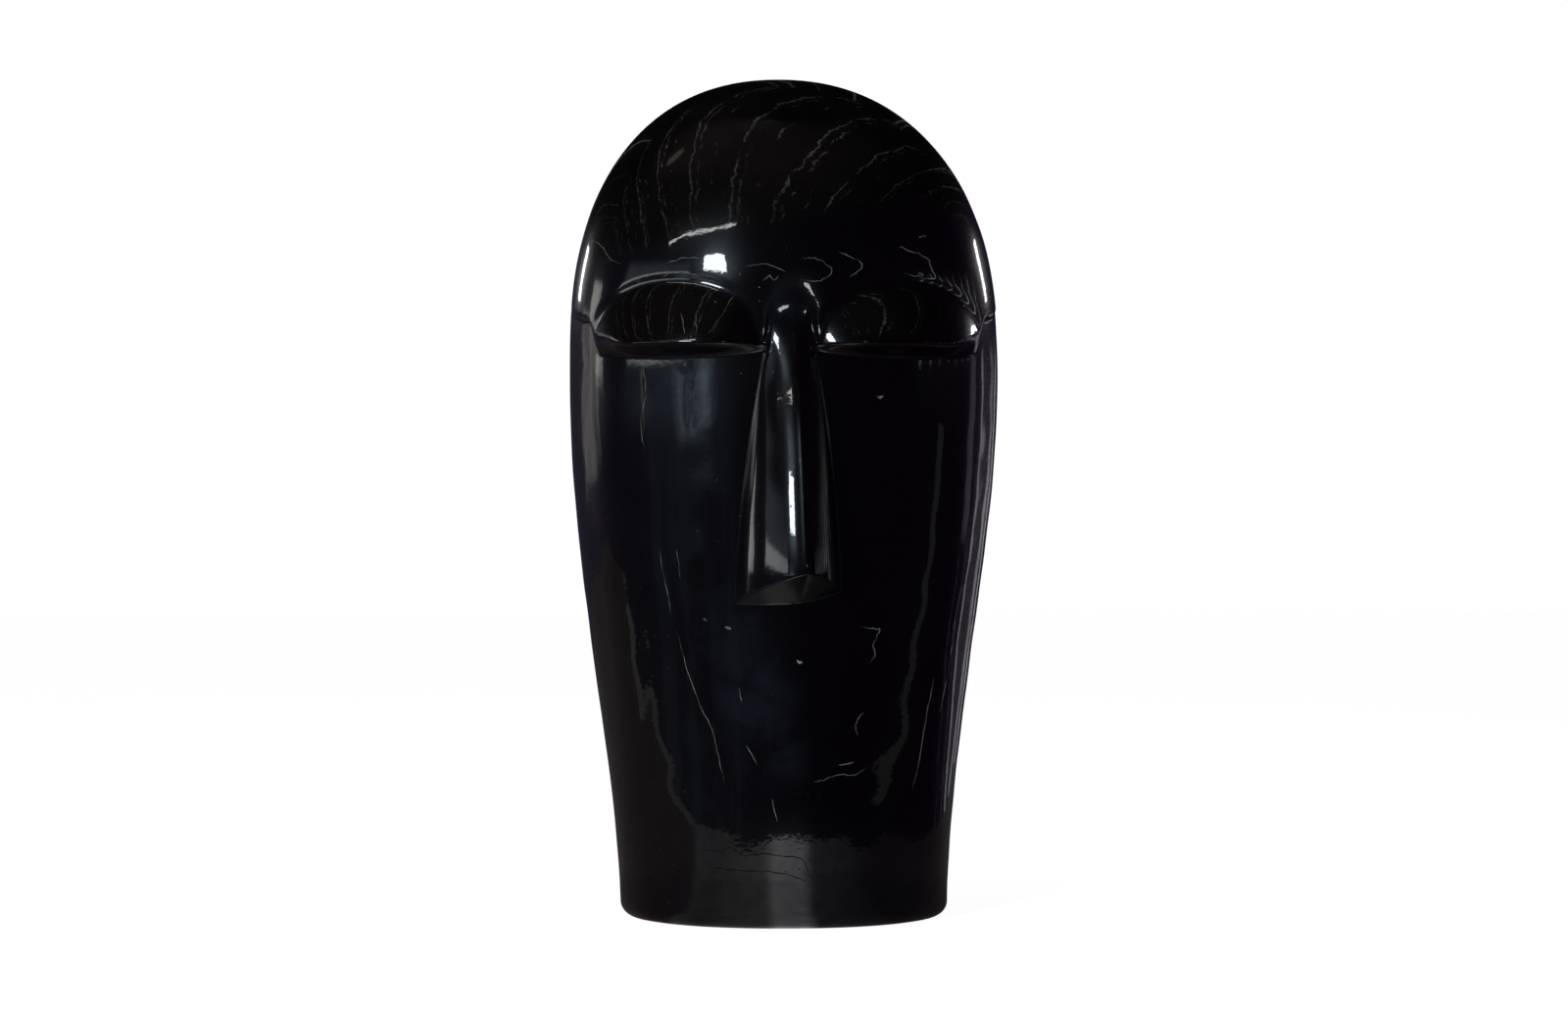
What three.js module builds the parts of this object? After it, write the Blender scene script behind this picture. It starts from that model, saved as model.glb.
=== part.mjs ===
import * as THREE from "three";

// A standing head in one piece: a tall domed skull, two closed lids under a soft brow, a wedge nose,
// plain cheeks and a round neck that ends in a flat underside.
// It faces -Y, +X is its left, and it stands on z = 0. Lengths are in millimetres, angles in degrees.

// Overall sizes
const height = 609;
const half_width = 157.2;
const front_depth = 139;
const back_depth = 136;
const neck_half_width = 119.6;
const foot_radius = 10;

// The outline from the front
const widest_height = 0.649 * height;
const crown_fullness = 2.5;
const profile_fullness = 3.2;
const shoulder_fullness = 2.2;
const section_fullness = 2.12;
const crown_lean = 4.3;
const neck_sway = 1.3;

// The lids: domes cut off along the lower edge, where they stand out most, with a crease over each
const lid_height = 0.673 * height;
const lid_middle = 0.51 * half_width;
const lid_half_length = 0.37 * half_width;
const lid_rise = 0.076 * height;
const lid_squareness = 2.3;
const lid_bulge = 15.5;
const lid_slope = 1.3;
const lid_rim = 0.3;
const lid_underside = 9;
const lid_underside_end = 5;
const crease_depth = 0.5;
const crease_spread = 0.12;

// The brow and the step between the skull and the cheeks
const brow_height = 0.766 * height;
const brow_roll = 0.8;
const brow_roll_spread = 19;
const cheek_inset = 5;
const cheek_fade_height = 0.36 * height;
const temple_start = 43;
const temple_corner = 62;
const temple_turn = 68;
const temple_end = 100;
const cheek_end = 92;
const temple_first_rise = 11;
const temple_steep_rise = 13;
const temple_last_rise = 16;

// The nose: a rounded wedge from between the lids down to a slanting underside
const bridge_height = 0.725 * height;
const bridge_half_width = 14;
const bridge_hollow = 2;
const bridge_hollow_spread = 20;
const nose_tip_height = 0.411 * height;
const nose_foot_height = 0.378 * height;
const nostril_height = 0.385 * height;
const nose_half_width = 38;
const nose_reach = 48;
const nose_fall = 1.12;
const nose_start = 0.09;
const nose_roundness = 1.75;
const nose_widening = 1.6;
const nose_ridge_shift = 8;
const nose_foot_slant = 4;

// How many faces each stretch gets
const foot_rows = 4;
const neck_rows = 9;
const nose_foot_rows = 7;
const cheek_rows = 8;
const ledge_rows = 11;
const lid_rows = 12;
const crown_rows = 14;
const nose_columns = 7;
const cheek_columns = 22;
const back_columns = 8;

const radians = Math.PI / 180;
const clamp = (value) => Math.min(1, Math.max(0, value));

// 0 before start, 1 after end and an easy curve in between.
function ease(start, end, value) {
  const t = clamp((value - start) / (end - start));
  return t * t * (3 - 2 * t);
}

function bell(value, middle, spread) {
  return Math.exp(-(((value - middle) / spread) ** 2));
}

// How wide, or with the fullness of the profile how deep, the plain form is at a height, as a share of its widest.
function outline_share(z, fullness = crown_fullness) {
  const neck_share = neck_half_width / half_width;
  if (z > widest_height) {
    const t = clamp((z - widest_height) / (height - widest_height));
    return (1 - t ** fullness) ** (1 / shoulder_fullness);
  }
  const t = ease(0, 1, (z / widest_height) ** 0.93);
  return neck_share + (1 - neck_share) * t;
}

// How far the rounded foot is drawn in at a height.
function foot_inset(z) {
  const drop = Math.max(0, foot_radius - z);
  return foot_radius - Math.sqrt(foot_radius ** 2 - drop ** 2);
}

// Distance from the upright axis to the plain form, at an angle from straight ahead.
function plain_radius(angle, z) {
  const across = half_width * outline_share(z) - foot_inset(z);
  const facing = Math.abs(angle) < 90 ? front_depth : back_depth;
  const along = facing * outline_share(z, profile_fullness) - foot_inset(z);
  const side = Math.abs(Math.sin(angle * radians)) / across;
  const ahead = Math.abs(Math.cos(angle * radians)) / along;
  return (side ** section_fullness + ahead ** section_fullness) ** (-1 / section_fullness);
}

// Half the width of the nose at a height.
function nose_width(z) {
  const t = clamp((bridge_height - 0.023 * height - z) / (bridge_height - 0.023 * height - nostril_height));
  return bridge_half_width + (nose_half_width - bridge_half_width) * (1 - (1 - t) ** nose_widening);
}

// The angle at which the plain form stands a given distance to the side.
function angle_at(side, z) {
  const across = side / (half_width * outline_share(z));
  const deepest = front_depth * outline_share(z, profile_fullness);
  return Math.atan2(side, deepest * (1 - across ** section_fullness) ** (1 / section_fullness)) / radians;
}

// The height of the edge where the skull steps in to the cheek.
function edge_height(turn) {
  const first = temple_first_rise * ease(temple_start, temple_corner, turn);
  const steep = temple_steep_rise * ease(temple_corner - 1, temple_turn, turn);
  return lid_height + first + steep + temple_last_rise * ease(temple_turn, temple_end, turn);
}

// 0 on the skull, 1 on the cheek: a rounded edge with a cove under it.
function step_down(side, turn, z) {
  const along_lid = clamp(1 - ((side - lid_middle) / (1.12 * lid_half_length)) ** 2);
  const drop = lid_underside_end + (lid_underside - lid_underside_end) * along_lid;
  const corner = (edge_height(turn) - lid_height) * (1 - ease(temple_corner, temple_turn, turn));
  const ledge = ease(-0.25 * drop, drop + corner, edge_height(turn) - z);
  const bridge = ease(-0.055 * height, 0.05 * height, lid_height - z);
  return bridge + (ledge - bridge) * ease(0.08 * half_width, 0.13 * half_width, side);
}

// The lid's dome, sunk into the skull so that a crease runs round its upper edge.
function lid_at(side, z) {
  const along = Math.abs(side - lid_middle) / lid_half_length;
  const up = Math.max(0, z - lid_height) / lid_rise;
  const from_middle = (along ** lid_squareness + up ** lid_squareness) ** (1 / lid_squareness);
  const rise_here = clamp(1 - along ** lid_squareness) ** (1 / lid_squareness);
  const left = clamp(1 - (up / Math.max(0.02, rise_here)) ** lid_slope);
  const dome = lid_bulge * clamp(1 - along ** 2) * ((left * left) / (left + lid_rim)) * (1 + lid_rim);
  return dome - crease_depth * ease(1 + crease_spread, 1, from_middle);
}

function brow_at(turn, z) {
  return brow_roll * bell(z, brow_height, brow_roll_spread) * (1 - ease(40, 75, turn));
}

// How far the nose stands out of the cheek: a rounded wedge cut off by a slanting underside.
// Its ridge runs a little to one side and its foot is not quite level. The place is signed, + to the left.
function nose_at(place, z) {
  const rise = clamp((bridge_height - z) / (bridge_height - nose_tip_height));
  const ridge = nose_ridge_shift * Math.sqrt(rise);
  const width = nose_width(z);
  const across = clamp(place > ridge ? (place - ridge) / (width - ridge) : (ridge - place) / (width + ridge));
  const section = (1 - across ** nose_roundness) ** 0.95;
  const level = z - (nose_foot_slant * place) / nose_half_width;
  const front_edge = nose_tip_height + (nostril_height - nose_tip_height) * across ** 1.2;
  const foot = nose_foot_height + (nostril_height - nose_foot_height) * across ** 2;
  const under = clamp((level - foot) / Math.max(0.5, front_edge - foot));
  const swell = ((1 + nose_start) * rise ** 2) / (rise + nose_start);
  return nose_reach * (1 - (1 - swell) ** nose_fall) * section * under;
}

// Everything that is carved in the front, as a distance added to the plain form.
function carving(angle, z) {
  const turn = Math.abs(angle);
  if (turn > temple_end) {
    return 0;
  }
  const side = plain_radius(Math.min(turn, 90), z) * Math.sin(Math.min(turn, 90) * radians);
  const down = step_down(side, turn, z);
  const on_front = 1 - ease(cheek_end - 22, cheek_end, turn);
  const cheek = cheek_inset * down * on_front * ease(0.08 * height, cheek_fade_height, z);
  const hollow = bridge_hollow * bell(z, lid_height + 0.03 * height, bridge_hollow_spread);
  const lid = lid_at(side, z) * (1 - down) * on_front;
  return lid + brow_at(turn, z) + nose_at(side * Math.sign(angle), z) - hollow * bell(side, 0, bridge_half_width) - cheek;
}

// How far the middle line strays to one side, as it does in a piece shaped by hand.
function lean_at(z) {
  const crown = crown_lean * clamp((z - widest_height) / (height - widest_height)) ** 1.9;
  return crown + neck_sway * bell(z, 0.3 * height, 0.2 * height) * clamp(z / foot_radius);
}

function surface_point(angle, z) {
  const reach = plain_radius(angle, z) + carving(angle, z);
  return [reach * Math.sin(angle * radians) - lean_at(z), -reach * Math.cos(angle * radians), z];
}

// Heights of the rows, closer together where the carving is.
function row_heights() {
  const ledge_top = lid_height + 0.3 * lid_underside;
  const ledge_foot = lid_height - lid_underside - 2;
  const stretches = [
    [0, foot_radius, foot_rows],
    [foot_radius, nose_foot_height, neck_rows],
    [nose_foot_height, nose_tip_height + 1, nose_foot_rows],
    [nose_tip_height + 1, ledge_foot, cheek_rows],
    [ledge_foot, ledge_top, ledge_rows],
    [ledge_top, brow_height + brow_roll_spread, lid_rows],
  ];
  const rows = [];
  for (const [start, end, count] of stretches) {
    for (let i = 0; i < count; i++) {
      rows.push(start + ((end - start) * i) / count);
    }
  }
  const crown_start = brow_height + brow_roll_spread;
  for (let i = 0; i < crown_rows; i++) {
    rows.push(crown_start + (height - crown_start) * Math.sin((90 * radians * i) / crown_rows));
  }
  return rows;
}

// Angles of the columns from the nose round to the back; the last nose column follows the nose's edge.
function column_angles(z) {
  const nose_edge = angle_at(nose_width(z), Math.min(z, brow_height));
  const half = [];
  for (let i = 0; i < nose_columns; i++) {
    half.push((nose_edge * i) / nose_columns);
  }
  for (let i = 0; i < cheek_columns; i++) {
    half.push(nose_edge + ((96 - nose_edge) * i) / cheek_columns);
  }
  for (let i = 0; i <= back_columns; i++) {
    half.push(96 + (84 * i) / back_columns);
  }
  const mirrored = half.slice(1, -1).reverse().map((angle) => -angle);
  return half.concat(mirrored);
}

function head_geometry() {
  const points = [];
  const faces = [];
  const rows = row_heights();
  for (const z of rows) {
    for (const angle of column_angles(z)) {
      points.push(...surface_point(angle, z));
    }
  }
  const around = column_angles(0).length;
  for (let row = 0; row + 1 < rows.length; row++) {
    for (let column = 0; column < around; column++) {
      const next = (column + 1) % around;
      const a = row * around + column;
      const b = row * around + next;
      faces.push(a, b, b + around, a, b + around, a + around);
    }
  }
  const underside = points.length / 3;
  points.push(0, 0, 0);
  const crown = underside + 1;
  points.push(-lean_at(height), 0, height);
  const last = (rows.length - 1) * around;
  for (let column = 0; column < around; column++) {
    const next = (column + 1) % around;
    faces.push(underside, next, column);
    faces.push(crown, last + column, last + next);
  }
  const geometry = new THREE.BufferGeometry();
  geometry.setAttribute("position", new THREE.Float32BufferAttribute(points, 3));
  geometry.setIndex(faces);
  geometry.computeVertexNormals();
  return geometry;
}

// Glossy black lacquer over the whole casting
const lacquer = new THREE.MeshStandardMaterial({ color: 0x08080a, roughness: 0.08, metalness: 0 });

const sculpture = new THREE.Group();
sculpture.name = "face_sculpture";
const head = new THREE.Mesh(head_geometry(), lacquer);
head.name = "head";
sculpture.add(head);

export default sculpture;
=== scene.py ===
"""A glossy black standing head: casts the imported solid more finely, lacquers it and sets it in a studio."""

import math

import bpy
import numpy as np
from bpy.props import FloatProperty, FloatVectorProperty, IntProperty, PointerProperty
from mathutils import Matrix, Vector


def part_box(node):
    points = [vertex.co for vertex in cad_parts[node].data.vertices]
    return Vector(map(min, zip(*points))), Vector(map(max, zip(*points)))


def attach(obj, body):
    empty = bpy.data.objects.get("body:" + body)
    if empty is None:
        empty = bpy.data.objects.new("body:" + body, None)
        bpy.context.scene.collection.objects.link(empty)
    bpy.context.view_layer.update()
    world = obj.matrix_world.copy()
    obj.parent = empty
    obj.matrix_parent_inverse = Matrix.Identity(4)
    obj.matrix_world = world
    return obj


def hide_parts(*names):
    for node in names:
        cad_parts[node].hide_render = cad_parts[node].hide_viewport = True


bl_info = {
    "name": "Standing Head Sculpture",
    "version": (1, 0, 0),
    "blender": (4, 5, 0),
    "location": "3D View > Sidebar > Sculpture",
    "description": "Casts a glossy black standing head and sets up its studio",
    "category": "Object",
}

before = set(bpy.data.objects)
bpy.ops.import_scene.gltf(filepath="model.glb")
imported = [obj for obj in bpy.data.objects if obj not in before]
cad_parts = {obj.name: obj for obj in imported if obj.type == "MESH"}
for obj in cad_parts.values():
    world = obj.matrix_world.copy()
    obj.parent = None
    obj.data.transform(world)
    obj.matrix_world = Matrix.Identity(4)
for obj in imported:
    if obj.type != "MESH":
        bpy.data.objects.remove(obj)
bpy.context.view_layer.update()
CAD_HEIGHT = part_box("head")[1][2]
MM = CAD_HEIGHT / 609


# Easing curves that the carving is made of


def clamp(value):
    return np.clip(value, 0.0, 1.0)


def ease(start, end, value):
    """0 before start, 1 after end and an easy curve in between."""
    t = clamp((value - start) / (end - start))
    return t * t * (3 - 2 * t)


def bell(value, middle, spread):
    return np.exp(-(((value - middle) / spread) ** 2))


# What a user can change


class HeadSizes(bpy.types.PropertyGroup):
    height: FloatProperty(
        name="Height",
        description="Underside to crown",
        default=CAD_HEIGHT,
        unit="LENGTH",
    )
    half_width: FloatProperty(
        name="Half Width",
        description="Half the widest section",
        default=157.2 * MM,
        unit="LENGTH",
    )
    front_depth: FloatProperty(
        name="Front Depth",
        description="Upright axis to the face, without the nose",
        default=139 * MM,
        unit="LENGTH",
    )
    back_depth: FloatProperty(
        name="Back Depth",
        description="Upright axis to the back of the skull",
        default=136 * MM,
        unit="LENGTH",
    )
    neck_half_width: FloatProperty(
        name="Neck Half Width",
        description="Half the width at the underside",
        default=119.6 * MM,
        unit="LENGTH",
    )
    foot_radius: FloatProperty(
        name="Foot Radius",
        description="Rounding of the lower edge",
        default=10 * MM,
        unit="LENGTH",
    )
    lid_bulge: FloatProperty(
        name="Lid Bulge",
        description="How far each lid's dome stands out",
        default=15.5 * MM,
        unit="LENGTH",
    )
    nose_reach: FloatProperty(
        name="Nose Reach",
        description="How far the tip stands out of the cheek",
        default=48 * MM,
        unit="LENGTH",
    )
    sway: FloatProperty(
        name="Hand Sway",
        description="Size of the slow waves left by hand finishing",
        default=0.09 * MM,
        unit="LENGTH",
    )
    rows: IntProperty(name="Rows", description="Rings of faces from foot to crown", default=270, min=60)
    columns: IntProperty(name="Columns", description="Faces round half the head", default=180, min=40)


class LacquerLook(bpy.types.PropertyGroup):
    colour: FloatVectorProperty(
        name="Lacquer",
        description="Colour of the lacquer",
        default=(0.0005, 0.0003, 0.0006),
        subtype="COLOR",
        size=3,
    )
    # Colour of the dust, also used for the painted bluish sheen in the sheen patches
    dust_and_sheen_colour: FloatVectorProperty(
        name="Dust",
        description="Colour of the thin film of dust",
        default=(0.010, 0.016, 0.024),
        subtype="COLOR",
        size=3,
    )
    haze: FloatProperty(
        name="Haze",
        description="Roughness of the body under the clear coat",
        default=0.29,
        subtype="FACTOR",
    )
    ripple: FloatProperty(
        name="Ripple",
        description="Strength of the clear coat's orange peel",
        default=0.035,
        subtype="FACTOR",
    )


class StudioSetup(bpy.types.PropertyGroup):
    camera_distance: FloatProperty(
        name="Camera Distance",
        description="Lens to the upright axis",
        default=2.568,
        unit="LENGTH",
    )
    camera_height: FloatProperty(
        name="Camera Height",
        description="Lens above the floor",
        default=0.2992,
        unit="LENGTH",
    )
    camera_turn: FloatProperty(
        name="Camera Turn",
        description="How far the camera stands to the head's right",
        default=math.radians(2.0),
        subtype="ANGLE",
    )
    frame_width: FloatProperty(
        name="Frame Width",
        description="Width seen at the upright axis",
        default=1.14816,
        unit="LENGTH",
    )
    key_light: FloatProperty(
        name="Key Light",
        description="Brightness of the small softbox, as seen in the gloss",
        default=25.0,
    )
    side_light: FloatProperty(
        name="Side Lights",
        description="Brightness of the window at each side",
        default=8.0,
    )


# The form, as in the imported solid


class HeadForm:
    """The head as a distance from its upright axis, for any angle from straight ahead and any height."""

    # Outline
    crown_fullness = 2.5
    profile_fullness = 3.2
    shoulder_fullness = 2.2
    section_fullness = 2.12
    taper_fullness = 0.93
    lean_growth = 1.9

    # Turns round the head, in degrees, where the step over the temple changes
    temple_start = 43
    temple_corner = 62
    temple_turn = 68
    temple_end = 100
    cheek_start = 70
    cheek_end = 92
    brow_fade_start = 40
    brow_fade_end = 75

    def __init__(self, sizes):
        height = sizes.height
        self.height = height
        self.half_width = sizes.half_width
        self.front_depth = sizes.front_depth
        self.back_depth = sizes.back_depth
        self.neck_half_width = sizes.neck_half_width
        self.foot_radius = sizes.foot_radius
        self.widest_height = 0.649 * height
        self.crown_lean = 4.3 * MM
        self.neck_sway = 1.3 * MM
        self.neck_sway_height = 0.3 * height
        self.neck_sway_spread = 0.2 * height

        self.lid_height = 0.673 * height
        self.lid_middle = 0.51 * self.half_width
        self.lid_half_length = 0.37 * self.half_width
        self.lid_rise = 0.076 * height
        self.lid_squareness = 2.3
        self.lid_bulge = sizes.lid_bulge
        self.lid_slope = 1.3
        self.lid_rim = 0.3
        self.lid_underside = 9 * MM
        self.lid_underside_end = 5 * MM
        self.lid_underside_reach = 1.12 * self.lid_half_length
        self.ledge_rounding = 0.25
        self.ledge_start = 0.08 * self.half_width
        self.ledge_full = 0.13 * self.half_width
        self.crease_depth = 0.5 * MM
        self.crease_spread = 0.12

        self.brow_height = 0.766 * height
        self.brow_roll = 0.8 * MM
        self.brow_roll_spread = 19 * MM
        self.cheek_inset = 5 * MM
        self.cheek_fade_foot = 0.08 * height
        self.cheek_fade_height = 0.36 * height
        self.temple_first_rise = 11 * MM
        self.temple_steep_rise = 13 * MM
        self.temple_last_rise = 16 * MM

        self.bridge_height = 0.725 * height
        self.bridge_half_width = 14 * MM
        self.bridge_slope_start = 0.055 * height
        self.bridge_slope_end = 0.05 * height
        self.bridge_hollow = 2 * MM
        self.bridge_hollow_height = self.lid_height + 0.03 * height
        self.bridge_hollow_spread = 20 * MM
        self.nose_top_height = self.bridge_height - 0.023 * height
        self.nose_tip_height = 0.411 * height
        self.nose_foot_height = 0.378 * height
        self.nostril_height = 0.385 * height
        self.nose_half_width = 38 * MM
        self.nose_reach = sizes.nose_reach
        self.nose_roundness = 1.75
        self.nose_section_fullness = 0.95
        self.nose_front_curve = 1.2
        self.nose_widening = 1.6
        self.nose_fall = 1.12
        self.nose_start = 0.09
        self.nose_ridge_shift = 8 * MM
        self.nose_foot_slant = 4 * MM
        self.ridge_bead = 0.6 * MM
        self.ridge_bead_spread = 1.6 * MM
        self.ridge_bead_shift = 0.5 * MM
        self.ridge_bead_start = 0.3
        self.ridge_bead_full = 0.5
        self.ridge_bead_foot_fade = 5 * MM

    def outline_share(self, z, fullness=crown_fullness):
        """Width of the plain form as a share of its widest, or its depth with the profile's fullness."""
        neck_share = self.neck_half_width / self.half_width
        up = clamp((z - self.widest_height) / (self.height - self.widest_height))
        crown = (1 - up**fullness) ** (1 / self.shoulder_fullness)
        down = ease(0, 1, clamp(z / self.widest_height) ** self.taper_fullness)
        return np.where(z > self.widest_height, crown, neck_share + (1 - neck_share) * down)

    def foot_inset(self, z):
        drop = np.maximum(0, self.foot_radius - z)
        return self.foot_radius - np.sqrt(self.foot_radius**2 - drop**2)

    def plain_radius(self, angle, z):
        inset = self.foot_inset(z)
        facing = np.where(np.abs(angle) < 90, self.front_depth, self.back_depth)
        side = np.abs(np.sin(np.radians(angle))) / (self.half_width * self.outline_share(z) - inset)
        depth = facing * self.outline_share(z, self.profile_fullness) - inset
        ahead = np.abs(np.cos(np.radians(angle))) / depth
        return (side**self.section_fullness + ahead**self.section_fullness) ** (-1 / self.section_fullness)

    def nose_width(self, z):
        t = clamp((self.nose_top_height - z) / (self.nose_top_height - self.nostril_height))
        return self.bridge_half_width + (self.nose_half_width - self.bridge_half_width) * (
            1 - (1 - t) ** self.nose_widening
        )

    def angle_at(self, side, z):
        across = side / (self.half_width * self.outline_share(z))
        deepest = self.front_depth * self.outline_share(z, self.profile_fullness)
        ahead = deepest * (1 - across**self.section_fullness) ** (1 / self.section_fullness)
        return np.degrees(np.arctan2(side, ahead))

    def edge_height(self, turn):
        first = self.temple_first_rise * ease(self.temple_start, self.temple_corner, turn)
        steep = self.temple_steep_rise * ease(self.temple_corner - 1, self.temple_turn, turn)
        last = self.temple_last_rise * ease(self.temple_turn, self.temple_end, turn)
        return self.lid_height + first + steep + last

    def step_down(self, side, turn, z):
        """0 on the skull, 1 on the cheek: a rounded edge with a cove under it."""
        along_lid = clamp(1 - ((side - self.lid_middle) / self.lid_underside_reach) ** 2)
        drop = self.lid_underside_end + (self.lid_underside - self.lid_underside_end) * along_lid
        edge = self.edge_height(turn)
        corner = (edge - self.lid_height) * (1 - ease(self.temple_corner, self.temple_turn, turn))
        ledge = ease(-self.ledge_rounding * drop, drop + corner, edge - z)
        bridge = ease(-self.bridge_slope_start, self.bridge_slope_end, self.lid_height - z)
        return bridge + (ledge - bridge) * ease(self.ledge_start, self.ledge_full, side)

    def lid_at(self, side, z):
        """The lid's dome, sunk into the skull so that a crease runs round its upper edge."""
        along = np.abs(side - self.lid_middle) / self.lid_half_length
        up = np.maximum(0, z - self.lid_height) / self.lid_rise
        power = self.lid_squareness
        from_middle = (along**power + up**power) ** (1 / power)
        rise_here = clamp(1 - along**power) ** (1 / power)
        left = clamp(1 - (up / np.maximum(0.02, rise_here)) ** self.lid_slope)
        dome = self.lid_bulge * clamp(1 - along**2) * (left**2 / (left + self.lid_rim)) * (1 + self.lid_rim)
        return dome - self.crease_depth * ease(1 + self.crease_spread, 1, from_middle)

    def brow_at(self, turn, z):
        on_front = 1 - ease(self.brow_fade_start, self.brow_fade_end, turn)
        return self.brow_roll * bell(z, self.brow_height, self.brow_roll_spread) * on_front

    def nose_at(self, place, z):
        """A rounded wedge cut off by a slanting underside, with its ridge a little to one side."""
        rise = clamp((self.bridge_height - z) / (self.bridge_height - self.nose_tip_height))
        ridge = self.nose_ridge_shift * np.sqrt(rise)
        width = self.nose_width(z)
        left_flank = (place - ridge) / (width - ridge)
        right_flank = (ridge - place) / (width + ridge)
        across = clamp(np.where(place > ridge, left_flank, right_flank))
        section = (1 - across**self.nose_roundness) ** self.nose_section_fullness
        level = z - (self.nose_foot_slant * place) / self.nose_half_width
        edge_drop = (self.nostril_height - self.nose_tip_height) * across**self.nose_front_curve
        front_edge = self.nose_tip_height + edge_drop
        foot = self.nose_foot_height + (self.nostril_height - self.nose_foot_height) * across**2
        under = clamp((level - foot) / np.maximum(0.5 * MM, front_edge - foot))
        swell = (1 + self.nose_start) * rise**2 / (rise + self.nose_start)
        return self.nose_reach * (1 - (1 - swell) ** self.nose_fall) * section * under

    def bead_at(self, angle, z):
        """A fine bead along the nose's ridge, too small for the solid."""
        place = self.plain_radius(angle, z) * np.sin(np.radians(angle))
        rise = clamp((self.bridge_height - z) / (self.bridge_height - self.nose_tip_height))
        ridge = self.nose_ridge_shift * np.sqrt(rise) + self.ridge_bead_shift
        from_top = ease(self.ridge_bead_start, self.ridge_bead_full, rise)
        from_tip = ease(self.nose_tip_height, self.nose_tip_height + self.ridge_bead_foot_fade, z)
        on_front = np.abs(angle) < 90
        return self.ridge_bead * bell(place, ridge, self.ridge_bead_spread) * from_top * from_tip * on_front

    def carving(self, angle, z):
        """Everything that is carved in the front, as a distance added to the plain form."""
        turn = np.abs(angle)
        shown = np.minimum(turn, 90)
        side = self.plain_radius(shown, z) * np.sin(np.radians(shown))
        down = self.step_down(side, turn, z)
        on_front = 1 - ease(self.cheek_start, self.cheek_end, turn)
        cheek = self.cheek_inset * down * on_front * ease(self.cheek_fade_foot, self.cheek_fade_height, z)
        hollow = self.bridge_hollow * bell(z, self.bridge_hollow_height, self.bridge_hollow_spread)
        lid = self.lid_at(side, z) * (1 - down) * on_front
        nose = self.nose_at(side * np.sign(angle), z)
        carved = lid + self.brow_at(turn, z) + nose - hollow * bell(side, 0, self.bridge_half_width) - cheek
        return np.where(turn > self.temple_end, 0, carved)

    def lean_at(self, z):
        up = clamp((z - self.widest_height) / (self.height - self.widest_height))
        sway = self.neck_sway * bell(z, self.neck_sway_height, self.neck_sway_spread)
        return self.crown_lean * up**self.lean_growth + sway * clamp(z / self.foot_radius)

    def points(self, angle, z):
        reach = self.plain_radius(angle, z) + self.carving(angle, z)
        x = reach * np.sin(np.radians(angle)) - self.lean_at(z)
        y = -reach * np.cos(np.radians(angle))
        return np.stack([x, y, z + 0 * angle], axis=-1)


# The casting's mesh


def spread(start, end, share):
    return start + (end - start) * share


def row_heights(form, count):
    """Heights of the rings, closer together where the carving is, each stretch with its share of the rows."""
    under_nose = form.nose_foot_height - 4 * MM
    over_tip = form.nose_tip_height + 3 * MM
    under_lid = form.lid_height - 16 * MM
    over_edge = form.lid_height + 6 * MM
    over_brow = form.brow_height + form.brow_roll_spread
    stretches = [
        (0, form.foot_radius, 0.05),
        (form.foot_radius, under_nose, 0.14),
        (under_nose, over_tip, 0.11),
        (over_tip, under_lid, 0.18),
        (under_lid, over_edge, 0.13),
        (over_edge, over_brow, 0.19),
    ]
    rows = []
    for start, end, share in stretches:
        steps = round(count * share)
        rows.append(spread(start, end, np.arange(steps) / steps))
    left = count - sum(len(part) for part in rows)
    rows.append(spread(over_brow, form.height, np.sin(np.radians(90 * np.arange(left) / left))))
    return np.concatenate(rows)


def column_angles(form, z, count):
    """Angles from the nose round to the back; one column follows the nose's edge."""
    nose_share, cheek_share, back_start = 0.24, 0.56, 97
    on_nose = round(nose_share * count)
    on_cheek = round(cheek_share * count)
    on_back = count - on_nose - on_cheek
    nose_edge = form.angle_at(form.nose_width(z), np.minimum(z, form.brow_height))[:, None]
    nose = nose_edge * np.arange(on_nose) / on_nose
    cheek = spread(nose_edge, back_start, np.arange(on_cheek) / on_cheek)
    back = spread(back_start, 180, np.arange(on_back + 1) / on_back) + 0 * nose_edge
    half = np.concatenate([nose, cheek, back], axis=1)
    return np.concatenate([half, -half[:, -2:0:-1]], axis=1)


def hand_waves(points, size):
    """Slow uneven waves from hand sanding: a seeded sum of sines through the block."""
    wavelengths = (0.11, 0.07, 0.045, 0.03)
    waves_each = 3
    dice = np.random.default_rng(7)
    total = np.zeros(points.shape[:-1])
    for wavelength in wavelengths:
        for _ in range(waves_each):
            way = dice.normal(size=3)
            way *= 2 * math.pi / (wavelength * np.linalg.norm(way))
            total += (wavelength / wavelengths[0]) * np.sin(points @ way + dice.uniform(0, 2 * math.pi))
    return size * total


def ring_mesh(name, grid, underside, crown):
    """A closed mesh from rings of points, an underside point and a crown point."""
    rings, around = grid.shape[:2]
    points = np.concatenate([grid.reshape(-1, 3), [underside, crown]])
    start = np.arange(rings - 1)[:, None] * around
    column = np.arange(around)[None, :]
    following = (column + 1) % around
    above = start + around
    quads = np.stack([start + column, start + following, above + following, above + column], -1)
    ring = np.arange(around)
    after = (ring + 1) % around
    foot = np.stack([np.full(around, rings * around), after, ring], -1)
    last = (rings - 1) * around
    top = np.stack([np.full(around, rings * around + 1), last + ring, last + after], -1)
    mesh = bpy.data.meshes.new(name)
    mesh.from_pydata(points.tolist(), [], quads.reshape(-1, 4).tolist() + foot.tolist() + top.tolist())
    mesh.validate()
    return mesh


# The hand finishing's waves start above the foot and fade out towards the crown, in metres
WAVES_START = 0.004
WAVES_FULL = 0.03
SKIN_INSET = 0.3 * MM


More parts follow.
